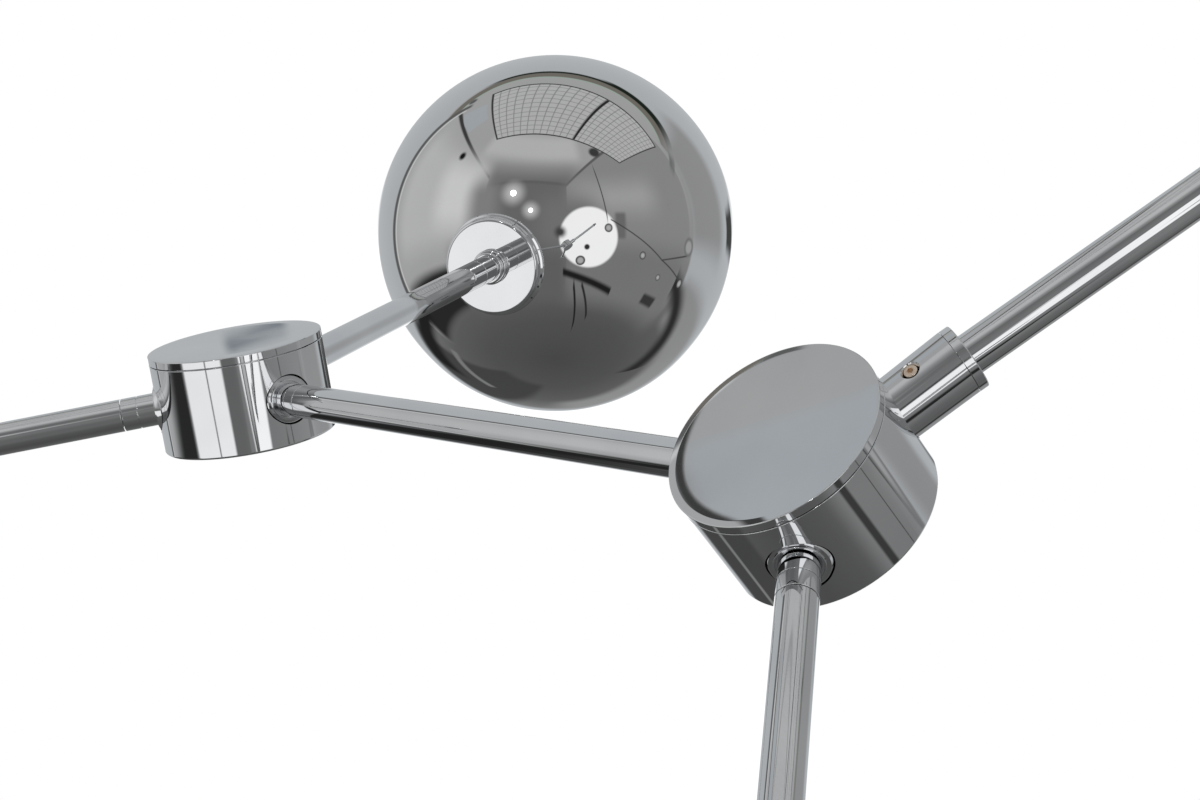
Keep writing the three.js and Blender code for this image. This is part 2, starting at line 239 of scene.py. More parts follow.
def turned_mesh(name, points, sides):
    """A profile turned about local X, with exact normals on its curves."""
    line = outline(points)
    starts, ends, at_start, at_end = runs_of(line)
    angles = np.arange(sides) * 2 * math.pi / sides
    spin = np.stack([np.cos(angles), np.sin(angles)], axis=1)
    vertices, first = [], []
    for along, radius in line:
        first.append(len(vertices))
        for c, s in spin if radius > 0 else spin[:1]:
            vertices.append((along * MM, radius * c * MM, radius * s * MM))
    faces, normals = [], []
    for i in range(len(starts)):
        a, b = i, (i + 1) % len(line)
        for j in range(sides):
            k = (j + 1) % sides
            corners = []
            if starts[i][1] > 0:
                corners.append((first[a] + j, at_start[i], spin[j]))
            else:
                corners.append((first[a], at_start[i] * (1, 0), spin[j]))
            if ends[i][1] > 0:
                corners.append((first[b] + j, at_end[i], spin[j]))
                corners.append((first[b] + k, at_end[i], spin[k]))
            else:
                corners.append((first[b], at_end[i] * (1, 0), spin[j]))
            if starts[i][1] > 0:
                corners.append((first[a] + k, at_start[i], spin[k]))
            faces.append([corner[0] for corner in corners])
            normals += [(n[0], n[1] * turn[0], n[1] * turn[1]) for _, n, turn in corners]
    mesh = bpy.data.meshes.new(name)
    mesh.from_pydata(vertices, [], faces)
    mesh.shade_smooth()
    mesh.normals_split_custom_set(normals)
    return mesh


# ---------------------------------------------------------------- pieces


def new_object(name, mesh, matrix):
    made = bpy.data.objects.new(name, mesh)
    bpy.context.scene.collection.objects.link(made)
    made.matrix_world = matrix
    bpy.context.view_layer.update()
    return made


def finish_piece(piece, material, node):
    """Paints a piece and lets it stand for its CAD node, on the same body."""
    piece.data.materials.clear()
    piece.data.materials.append(MATERIALS[material])
    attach(piece, frame["nodes"][node]["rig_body"])
    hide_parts(node)
    return piece


def turned_piece(node, matrix, points, sides, material):
    name = node + "_turned"
    return finish_piece(new_object(name, turned_mesh(name, points, sides), matrix), material, node)


def combined(base, tool, operation):
    """The exact union or difference of two objects, kept in the first; the second goes."""
    modifier = base.modifiers.new("combine", "BOOLEAN")
    modifier.object = tool
    modifier.operation = operation
    modifier.solver = "EXACT"
    bpy.context.view_layer.update()
    graph = bpy.context.evaluated_depsgraph_get()
    mesh = bpy.data.meshes.new_from_object(base.evaluated_get(graph))
    base.modifiers.clear()
    base.data = mesh
    bpy.data.objects.remove(tool)


def shade_as_turned(piece, surfaces):
    """Gives a cut solid the normals of the turned surfaces that it was made from.

    surfaces holds (frame, profile) pairs. Each face takes the surface that it lies on and faces along,
    or stays flat where it lies on none of them.
    """
    mesh = piece.data
    to_world = np.array(piece.matrix_world)
    corners = np.array([to_world[:3, :3] @ v.co + to_world[:3, 3] for v in mesh.vertices])
    centres = np.array([to_world[:3, :3] @ p.center + to_world[:3, 3] for p in mesh.polygons])
    flat = np.array([to_world[:3, :3] @ p.normal for p in mesh.polygons])
    best = np.full(len(centres), 0.05)
    chosen = {}
    for matrix, points in surfaces:
        back = np.array(matrix.inverted())
        runs = runs_of(outline(points))
        local = (centres @ back[:3, :3].T + back[:3, 3]) / MM
        facing = flat @ back[:3, :3].T
        radius = np.hypot(local[:, 1], local[:, 2])
        outward = (facing[:, 1] * local[:, 1] + facing[:, 2] * local[:, 2]) / np.maximum(radius, 1e-6)
        slope = np.stack([facing[:, 0], outward], axis=1)
        spots = np.stack([local[:, 0], radius], axis=1)
        for run in zip(*runs):
            start, end = run[0], run[1]
            step = end - start
            t = np.clip((spots - start) @ step / (step @ step), 0, 1)
            away = np.linalg.norm(spots - start - t[:, None] * step, axis=1)
            normal = np.array([step[1], -step[0]]) / np.linalg.norm(step)
            for sense in (1, -1):
                fits = (away < best) & (slope @ normal * sense > 0.98)
                for i in np.nonzero(fits)[0]:
                    best[i] = away[i]
                    chosen[i] = (back, run, sense)
    normals = []
    for polygon in mesh.polygons:
        if polygon.index not in chosen:
            normals += [tuple(flat[polygon.index])] * polygon.loop_total
            continue
        back, (start, end, at_start, at_end), sense = chosen[polygon.index]
        step = end - start
        for v in polygon.vertices:
            x, y, z = (back[:3, :3] @ corners[v] + back[:3, 3]) / MM
            radius = max(math.hypot(y, z), 1e-6)
            t = min(max((np.array([x, radius]) - start) @ step / (step @ step), 0), 1)
            along, out = (at_start * (1 - t) + at_end * t) * sense
            normals.append(tuple(back[:3, :3].T @ np.array([along, out * y / radius, out * z / radius])))
    to_local = to_world[:3, :3].T
    mesh.shade_smooth()
    mesh.normals_split_custom_set([tuple(to_local @ np.array(n)) for n in normals])


# ---------------------------------------------------------------- materials


class Nodes:
    """A short way to write a node tree: each call adds one node and links or sets its inputs."""

    def __init__(self, tree):
        self.tree = tree
        tree.nodes.clear()

    def add(self, kind, settings=None, **inputs):
        made = self.tree.nodes.new(kind)
        for key, value in (settings or {}).items():
            setattr(made, key, value)
        for key, value in inputs.items():
            name = key.replace("_", " ")
            socket = made.inputs[int(key[1:])] if key[1:].isdigit() else made.inputs[name]
            if isinstance(value, bpy.types.NodeSocket):
                self.tree.links.new(value, socket)
            else:
                socket.default_value = value
        return made

    def math(self, operation, a, b=0.0):
        return self.add("ShaderNodeMath", {"operation": operation}, i0=a, i1=b).outputs[0]

    def ramp(self, value, stops):
        made = self.add("ShaderNodeValToRGB", Fac=value)
        elements = made.color_ramp.elements
        while len(elements) > 1:
            elements.remove(elements[-1])
        for i, (at, color) in enumerate(stops):
            element = elements[0] if i == 0 else elements.new(at)
            element.position = at
            element.color = (*color, 1)
        return made.outputs["Color"]

    def between(self, value, low, high, soft):
        """1 where low < value < high, with soft edges."""
        edges = {"interpolation_type": "SMOOTHSTEP"}
        rise = {"From Min": low - soft, "From Max": low + soft}
        fall = {"From Min": high - soft, "From Max": high + soft, "To Min": 1.0, "To Max": 0.0}
        up = self.add("ShaderNodeMapRange", edges, Value=value)
        down = self.add("ShaderNodeMapRange", edges, Value=value)
        for made, settings in ((up, rise), (down, fall)):
            for key, setting in settings.items():
                made.inputs[key].default_value = setting
        return self.math("MULTIPLY", up.outputs[0], down.outputs[0])

    def mix(self, factor, a, b):
        made = self.add("ShaderNodeMix", {"data_type": "RGBA"})
        for socket, value in ((made.inputs[0], factor), (made.inputs[6], a), (made.inputs[7], b)):
            if isinstance(value, bpy.types.NodeSocket):
                self.tree.links.new(value, socket)
            else:
                socket.default_value = value
        return made.outputs[2]


def noise(nodes, coordinates, scale, detail=3.0):
    return nodes.add("ShaderNodeTexNoise", Vector=coordinates, Scale=scale, Detail=detail).outputs[0]


def finish_material(name, color, shade, metallic, roughness, grain, relief, extra=None):
    """A surface with uneven colour and polish, and fine relief.

    color and shade are the two tones it varies between, roughness is a (least, most) pair, grain is
    the size of the unevenness and relief its height, both in millimetres.
    """
    material = bpy.data.materials.new(name)
    material.use_nodes = True
    nodes = Nodes(material.node_tree)
    where = nodes.add("ShaderNodeTexCoord").outputs["Object"]
    cloud = noise(nodes, where, 0.3 / (grain * MM))
    fine = noise(nodes, where, 4 / (grain * MM), 6.0)
    tone = nodes.ramp(cloud, [(0.35, color), (0.7, shade)])
    least, most = roughness
    smudge = nodes.add("ShaderNodeMapRange", Value=cloud)
    smudge.inputs["From Min"].default_value = 0.35
    smudge.inputs["From Max"].default_value = 0.75
    smudge.inputs["To Min"].default_value = least
    smudge.inputs["To Max"].default_value = most
    bump = nodes.add("ShaderNodeBump", Height=fine, Strength=1.0, Distance=relief * MM)
    surface = nodes.add(
        "ShaderNodeBsdfPrincipled",
        Base_Color=tone,
        Metallic=metallic,
        Roughness=smudge.outputs[0],
        Normal=bump.outputs[0],
    )
    for key, value in (extra or {}).items():
        surface.inputs[key].default_value = value
    nodes.add("ShaderNodeOutputMaterial", Surface=surface.outputs[0])
    return material


def mirror_glass():
    """Blown glass with a smoky mirror coat: darker face on, brighter towards the rim."""
    material = bpy.data.materials.new("smoked_glass")
    material.use_nodes = True
    nodes = Nodes(material.node_tree)
    where = nodes.add("ShaderNodeTexCoord").outputs["Object"]
    facing = nodes.add("ShaderNodeLayerWeight", Blend=0.5).outputs["Facing"]
    coat = nodes.ramp(facing, [(0.0, (0.76, 0.76, 0.765)), (0.6, (0.79, 0.795, 0.80)), (1.0, (0.88, 0.89, 0.9))])
    ripple = noise(nodes, where, 14.0, 1.0)
    uneven = noise(nodes, where, 40.0)
    tinted = nodes.mix(nodes.math("MULTIPLY", uneven, 0.12), coat, (0.45, 0.46, 0.48, 1))
    bump = nodes.add("ShaderNodeBump", Height=ripple, Strength=1.0, Distance=0.00012)
    haze = nodes.add("ShaderNodeMapRange", Value=uneven)
    haze.inputs["To Min"].default_value = 0.0
    haze.inputs["To Max"].default_value = 0.035
    surface = nodes.add(
        "ShaderNodeBsdfPrincipled",
        Base_Color=tinted,
        Metallic=1.0,
        Roughness=haze.outputs[0],
        Normal=bump.outputs[0],
    )
    nodes.add("ShaderNodeOutputMaterial", Surface=surface.outputs[0])
    return material


MATERIALS = {
    "chrome": finish_material(
        "chrome", (0.80, 0.81, 0.82), (0.75, 0.76, 0.775), 1.0, (0.015, 0.06), 9.0, 0.0006),
    "steel": finish_material(
        "steel", (0.55, 0.56, 0.57), (0.42, 0.43, 0.44), 1.0, (0.25, 0.45), 2.0, 0.02),
    "brass": finish_material(
        "brass", (0.96, 0.82, 0.68), (0.86, 0.68, 0.54), 1.0, (0.12, 0.3), 0.8, 0.01),
    "nylon": finish_material(
        "nylon", (0.86, 0.84, 0.78), (0.78, 0.75, 0.68), 0.0, (0.4, 0.6), 1.5, 0.02,
        {"Subsurface Weight": 0.1}),
    "rubber": finish_material(
        "rubber", (0.03, 0.03, 0.03), (0.05, 0.05, 0.05), 0.0, (0.7, 0.9), 0.8, 0.03),
    "cable_sheath": finish_material(
        "cable_sheath", (0.80, 0.80, 0.78), (0.72, 0.72, 0.70), 0.0, (0.35, 0.55), 1.2, 0.02),
    "ceramic": finish_material(
        "ceramic", (0.90, 0.88, 0.83), (0.82, 0.79, 0.73), 0.0, (0.15, 0.35), 3.0, 0.02,
        {"Coat Weight": 0.6}),
    "bulb_glass": finish_material(
        "bulb_glass", (0.93, 0.91, 0.86), (0.88, 0.86, 0.8), 0.0, (0.3, 0.5), 2.5, 0.01,
        {"Transmission Weight": 0.35, "Coat Weight": 0.8}),
    "smoked_glass": mirror_glass(),
}

# ---------------------------------------------------------------- hubs


def cup_profile():
    return [
        (HUB_LOW, 0),
        (HUB_LOW, HUB_RADIUS, 0.9),
        (HUB_RIM, HUB_RADIUS, 0.25),
        (HUB_RIM, HUB_INSIDE, 0.25),
        (HUB_LOW + 2, HUB_INSIDE, 0.6),
        (HUB_LOW + 2, 0),
    ]


def ball_cut_profile():
    """The socket's pocket, the cone that the ball bears on, and the round hole."""
    return [
        (BOSS_START - 1, 0),
        (BOSS_START - 1, SOCKET_POCKET),
        (SOCKET_OUT + 0.8, SOCKET_POCKET),
        (SOCKET_OUT + 4.9, SOCKET_HOLE),
        (HUB_RADIUS + 2, SOCKET_HOLE),
        (HUB_RADIUS + 2, 0),
    ]


def sleeve_cut_profile():
    return [
        (BOSS_START - 1, 0),
        (BOSS_START - 1, SOCKET_POCKET),
        (28.6, SOCKET_POCKET),
        (28.6, SLEEVE_HOLE),
        (HUB_RADIUS + 2, SLEEVE_HOLE),
        (HUB_RADIUS + 2, 0),
    ]


def drum(node, hub, cuts):
    """A cup with an inner boss behind each socket, cut through for each ball or sleeve."""
    boss = [(BOSS_START, 0), (BOSS_START, 13), (28, 13), (28, 0)]
    name = node + "_turned"
    piece = new_object(name, turned_mesh(name, cup_profile(), SIDES["hub"]), hub.frame)
    for socket in hub.sockets.values():
        combined(piece, new_object("tool", turned_mesh("tool", boss, SIDES["socket"]), socket), "UNION")
    for socket, cut in cuts.items():
        tool = new_object("tool", turned_mesh("tool", cut, SIDES["socket"]), hub.sockets[socket])
        combined(piece, tool, "DIFFERENCE")
    surfaces = [(hub.frame, cup_profile())]
    surfaces += [(hub.sockets[socket], cut) for socket, cut in cuts.items()]
    shade_as_turned(piece, surfaces)
    return finish_piece(piece, "chrome", node)


def lid(node, hub):
    """A pressed cover, flat in the middle, whose crown turns down to the rim, with a spigot below."""
    under = HUB_RIM + GAP
    spigot = HUB_INSIDE - GAP
    points = [(HUB_TOP, 0), (HUB_TOP, CROWN[0][0])]
    slope = 0
    for radius, steeper in CROWN[1:]:
        along, out = points[-1]
        bend = (radius - out) / (math.sin(math.radians(steeper)) - math.sin(math.radians(slope)))
        centre = (along - bend * math.cos(math.radians(slope)), out - bend * math.sin(math.radians(slope)))
        points += arc(centre[0], bend, slope, steeper, 8, centre_radius=centre[1])[1:]
        slope = steeper
    points += [
        (under, HUB_RADIUS, 0.15),
        (under, spigot),
        (under - 2, spigot, 0.3),
        (under - 2, spigot - 1.5),
        (under - 0.3, spigot - 1.5, 0.4),
        (HUB_TOP - 1.8, spigot - 4),
        (HUB_TOP - 1.8, 0),
    ]
    return turned_piece(node, hub.frame, points, SIDES["hub"], "chrome")


def terminal_block(node, hub):
    """Insulating block on the floor, with two wells that show brass screws."""
    base = HUB_LOW + 2 + GAP
    height = 16
    mesh = bpy.data.meshes.new(node)
    half = 8.5
    square = [(-half, -half), (half, -half), (half, half), (-half, half)]
    points = [(x * MM, y * MM, z * MM) for x in (base, base + height) for y, z in square]
    mesh.from_pydata(points, [], [
        (0, 3, 2, 1), (4, 5, 6, 7), (0, 1, 5, 4), (1, 2, 6, 5), (2, 3, 7, 6), (3, 0, 4, 7)])
    piece = new_object(node + "_block", mesh, hub.frame)
    well = [(base + height - 9, 0), (base + height - 9, 2.2), (base + height + 1, 2.2), (base + height + 1, 0)]
    screw_floor = base + height - 9 + 0.1
    for side in (-4, 4):
        at = hub.frame @ Matrix.Translation((0, side * MM, 0))
        combined(piece, new_object("tool", turned_mesh("tool", well, 32), at), "DIFFERENCE")
        head = [(screw_floor, 0), (screw_floor, 1.9), (screw_floor + 2, 1.9, 0.4), (screw_floor + 2, 0)]
        name = f"{node}_screw_{'near' if side < 0 else 'far'}"
        screw = new_object(name, turned_mesh(name, head, 32), at)
        screw.data.materials.append(MATERIALS["brass"])
        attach(screw, frame["nodes"][node]["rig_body"])
    bevel = piece.modifiers.new("edges", "BEVEL")
    bevel.width = 0.4 * MM
    bevel.segments = 2
    bevel.limit_method = "ANGLE"
    return finish_piece(piece, "ceramic", node)


def seat_and_clamp(socket_name, pocket, seat_node, clamp_node):
    outer = SOCKET_POCKET - GAP
    clamp = [(-9.5, 8), (-9.5, outer, 0.3), (-6.8, outer, 0.3), (-6.8, 8, 0.3)]
    turned_piece(clamp_node, pocket, clamp, SIDES["small"], "steel")
    if seat_node:
        seat = [(-2.6, 10.2), (-2.6, outer, 0.2), (-6.5, outer, 0.3), (-6.5, 8.35)]
        turned_piece(seat_node, pocket, seat, SIDES["small"], "nylon")


# ---------------------------------------------------------------- arms


def ball_stud(node, matrix):
    """Ball turned flat where the neck leaves it, with a raised ring and a groove around the neck."""
    tail = math.degrees(math.acos(BALL_TAIL / BALL_RADIUS))
    shoulder = math.degrees(math.asin(FACE_RADIUS / BALL_RADIUS))
    points = [(BALL_TAIL, WIRE_BORE)]
    points += arc(0, BALL_RADIUS, tail, shoulder, 40)
    points += [
        (BALL_FACE, FACE_RADIUS - 0.15, 0.2),
        (BALL_FACE, 7.35),
        (BALL_FACE + 0.6, 7.2, 0.2),
        (BALL_FACE + 0.6, 6.6, 0.15),
        (BALL_FACE - 0.8, 6.6),
        (BALL_FACE - 0.8, ROD_RADIUS),
        (FERRULE, ROD_RADIUS, 0.1),
        (FERRULE, ROD_RADIUS - 0.3),
        (FERRULE + 0.25, ROD_RADIUS - 0.3),
        (FERRULE + 0.25, ROD_RADIUS, 0.1),
        (NECK_END, ROD_RADIUS, 0.2),
        (NECK_END, SHANK_RADIUS),
        (SHANK_END, SHANK_RADIUS, 0.4),
        (SHANK_END, WIRE_BORE),
    ]
    return turned_piece(node, matrix, points, SIDES["rod"], "chrome")


def tube(node, matrix, start, end):
    points = [(start, ROD_BORE), (start, ROD_RADIUS, 0.2), (end, ROD_RADIUS, 0.2), (end, ROD_BORE)]
    return turned_piece(node, matrix, points, SIDES["rod"], "chrome")


def cable(node, matrix, start, end):
    points = [(start, 0), (start, 1.5, 0.2), (end, 1.5, 0.2), (end, 0)]
    return turned_piece(node, matrix, points, 24, "cable_sheath")


def far_frame(matrix, length):
    """The frame of the ball at an arm's far end, facing back along the arm."""
    return matrix @ Matrix.Translation((length * MM, 0, 0)) @ Matrix.Rotation(math.pi, 4, "Z")


# ---------------------------------------------------------------- hanging rod


def sleeve():
    flange = SOCKET_OUT - 6.5
    points = [
        (flange, 4.5),
        (flange, SOCKET_POCKET - GAP, 0.3),
        (28.3, SOCKET_POCKET - GAP, 0.2),
        (28.3, 9.5),
        (SLEEVE_MOUTH + 1, 9.9),
        (SLEEVE_MOUTH + 1, 7.6),
        (33, 7.6),
        (33, 4.5),
    ]
    across = SLEEVE @ Matrix.Translation((GRUB_OUT * MM, 0, 0)) @ Matrix.Rotation(-math.pi / 2, 4, "Y")
    hole = [(5, 0), (5, 2.3), (8.9, 2.3), (9.8, 3.0), (12, 3.0), (12, 0)]
    # the rod leans a little in the sleeve, so the mouth is faced square to the rod, just behind the ring
    face = [(RING_BACK - MOUTH_GAP, 0), (RING_BACK - MOUTH_GAP, 14), (6, 14), (6, 0)]
    name = "port_sleeve_turned"
    piece = new_object(name, turned_mesh(name, points, SIDES["socket"]), SLEEVE)
    combined(piece, new_object("tool", turned_mesh("tool", hole, 48), across), "DIFFERENCE")
    combined(piece, new_object("tool", turned_mesh("tool", face, 48), HANGER), "DIFFERENCE")
    shade_as_turned(piece, [(SLEEVE, points), (across, hole), (HANGER, face)])
    finish_piece(piece, "chrome", "port_sleeve")

    body = [(6.6, 0), (6.6, 2, 0.3), (9.4, 2, 0.35), (9.4, 0)]
    recess = [(8.1, 0), (8.1, 1), (12, 1), (12, 0)]
    screw = new_object("grub_screw_turned", turned_mesh("grub_screw_turned", body, 48), across)
    combined(screw, new_object("tool", turned_mesh("tool", recess, 6), across), "DIFFERENCE")
    shade_as_turned(screw, [(across, body)])
    finish_piece(screw, "brass", "grub_screw")


def hanging_rod():
    ring_points = [
        (-4, 6.3),
        (-4, 7.1),
        (RING_BACK, 7.1),
        (RING_BACK, 9.9, 0.12),
        (3.6, 9.9, 0.4),
        (3.6, 6.3),
    ]
    turned_piece("end_ring", HANGER, ring_points, SIDES["socket"], "chrome")
    length = reach("hanging_rod", HANGER)
    tube("hanging_rod", HANGER, -15, length)
    shoulder = length + GAP
    nipple = [
        (length - 12, WIRE_BORE),
        (length - 12, SHANK_RADIUS),
        (shoulder, SHANK_RADIUS),
        (shoulder, 8, 0.3),
        (shoulder + 4, 8, 0.3),
        (shoulder + 4, 5),
    ]
    for turn in range(14):
        at = shoulder + 4.6 + turn * 0.9
        nipple += [(at, 5), (at + 0.45, 4.55)]
    nipple += [(shoulder + 18, 4.55), (shoulder + 18, WIRE_BORE)]
    turned_piece("hanger_nipple", HANGER, nipple, SIDES["rod"], "steel")


# ---------------------------------------------------------------- lamp


def lamp_nipple():
    points = [
        (-120, WIRE_BORE),
        (-120, SHANK_RADIUS),
        (FERRULE_START, SHANK_RADIUS),
        (FERRULE_START, ROD_RADIUS, 0.25),
        (FERRULE_END, ROD_RADIUS, 0.3),
        (FERRULE_END, 5),
        (-75, 5, 0.4),
        (-75, WIRE_BORE),
    ]
    turned_piece("lamp_nipple", LAMP, points, SIDES["rod"], "chrome")


def collar_nut():
    """Two rounded rings in one piece."""
    back = FERRULE_END + GAP
    front = CAP_FACE - GAP
    waist = (back + front) / 2
    points = [
        (back, 5.3),
        (back, 7.4, 0.9),
        (waist, 7.2),
        (waist, 7.0),
        (waist + 0.3, 7.0),
        (waist + 0.3, 8.0, 0.7),
        (front, 8.0, 0.9),
        (front, 5.3),
    ]
    turned_piece("collar_nut", LAMP, points, SIDES["rod"], "chrome")


def lamp_cap():
    """Spun cup: flat face, round shoulder, and a rolled lip that flares at the glass."""
    points = [
        (CAP_FACE, 5.3),
        (CAP_FACE, 22.3, 1.6),
        (CAP_LIP - 1.7, 22.3, 0.3),
        (CAP_LIP - 1.1, 23.3, 0.4),
        (CAP_LIP, 23.8, 0.3),
        (CAP_LIP, 22.65),
        (CAP_LIP - 1.0, 21.4),
        (CAP_FACE + 1.6, 21.1, 0.8),
        (CAP_FACE + 1.2, 5.3),
    ]
    turned_piece("lamp_cap", LAMP, points, SIDES["hub"], "chrome")


def lampholder():
    back = CAP_FACE + 1.5
    points = [
        (back, 5.3),
        (back, 13, 0.6),
        (-62, 13),
        (-61.5, 12.6),
        (-61, 13),
        (-56, 13, 0.8),
        (-56, 9, 0.5),
        (-70, 9),
        (-70, WIRE_BORE),
        (-74.5, WIRE_BORE),
        (-74.5, 5.3),
    ]
    turned_piece("lampholder", LAMP, points, SIDES["small"], "ceramic")


def bulb():
    points = [(-69, 0), (-69, 7.5, 0.5), (-55, 7.5, 0.4), (-55, 7)]
    points += arc(-28, 7, 90, 0, 16)
    points[-1] = (-21, 0)
    turned_piece("bulb", LAMP, points, SIDES["small"], "bulb_glass")


def globe_fittings():
    gasket = [
        (CAP_FACE + 1.5, 13.6, 0.25),
        (CAP_FACE + 1.5, NECK_OUTER, 0.25),
        (NECK_RIM - GAP, NECK_OUTER, 0.25),
        (NECK_RIM - GAP, 13.6, 0.25),
    ]
    turned_piece("neck_gasket", LAMP, gasket, SIDES["small"], "rubber")
    ring = [
        (NECK_RIM + GAP, NECK_OUTER + GAP),
        (NECK_RIM + GAP, 20.6, 0.3),
        (-84.9, 20.6, 0.3),
        (-84.9, NECK_OUTER + GAP),
    ]
    turned_piece("bayonet_ring", LAMP, ring, SIDES["socket"], "steel")


def globe():
    inside = GLOBE_RADIUS - GLOBE_WALL
    outer_neck = 180 - math.degrees(math.asin(NECK_OUTER / GLOBE_RADIUS))
    inner_neck = 180 - math.degrees(math.asin(NECK_INNER / inside))
    points = arc(0, GLOBE_RADIUS, 0, outer_neck, 90)
    points[0] = (GLOBE_RADIUS, 0)
    points += [(NECK_RIM, NECK_OUTER, 0.5), (NECK_RIM, NECK_INNER, 0.5)]
    points += arc(0, inside, inner_neck, 0, 60)
    points[-1] = (inside, 0)
    turned_piece("glass_globe", LAMP, points, SIDES["globe"], "smoked_glass")


# ---------------------------------------------------------------- assembly

drum("drum_b", HUB_B, {"link": ball_cut_profile(), "down": ball_cut_profile(), "up": sleeve_cut_profile()})
drum("drum_a", HUB_A, {name: ball_cut_profile() for name in ("link", "lamp", "side")})
for letter, hub in (("b", HUB_B), ("a", HUB_A)):
    lid("lid_" + letter, hub)
    terminal_block("terminal_block_" + letter, hub)

seat_and_clamp("link", HUB_B.pocket("link"), "seat_ring_link", "clamp_ring_b_link")
seat_and_clamp("down", HUB_B.pocket("down"), "seat_ring_down", "clamp_ring_b_down")
seat_and_clamp("up", HUB_B.pocket("up"), None, "clamp_ring_b_up")
seat_and_clamp("link", HUB_A.pocket("link"), "seat_ring_link_far", "clamp_ring_a_link")
seat_and_clamp("lamp", HUB_A.pocket("lamp"), "seat_ring_lamp", "clamp_ring_a_lamp")
seat_and_clamp("side", HUB_A.pocket("side"), "seat_ring_side", "clamp_ring_a_side")

for arm_name, matrix in (("link", LINK), ("down", DOWN), ("side", SIDE)):
    length = LINK_LENGTH if arm_name == "link" else reach(f"ball_stud_{arm_name}_far", matrix) + BALL_TAIL
    ball_stud(f"ball_stud_{arm_name}", matrix)
    tube(f"tube_{arm_name}", matrix, NECK_END + GAP, length - NECK_END - GAP)
    ball_stud(f"ball_stud_{arm_name}_far", far_frame(matrix, length))
cable("cable_link", LINK, SHANK_END + 4, LINK_LENGTH - SHANK_END - 4)

sleeve()
hanging_rod()

ball_stud("ball_stud_lamp", LAMP_ARM)
tube("tube_lamp", LAMP_ARM, NECK_END + GAP, LAMP_REACH + FERRULE_START - GAP)
cable("cable_lamp", LAMP_ARM, SHANK_END + 4, LAMP_REACH - 123)
lamp_nipple()
collar_nut()
lamp_cap()
lampholder()
bulb()
globe_fittings()
globe()

# ---------------------------------------------------------------- studio

CHROME_TONE = 0.79  # share of light that the chrome sends back


def tone(level, tint=(1.0, 1.0, 1.0)):
    """The light that a chrome mirror shows as an 8-bit level."""
    bright = (level / 255) ** 2.2 / CHROME_TONE
    return (bright * tint[0], bright * tint[1], bright * tint[2], 1)


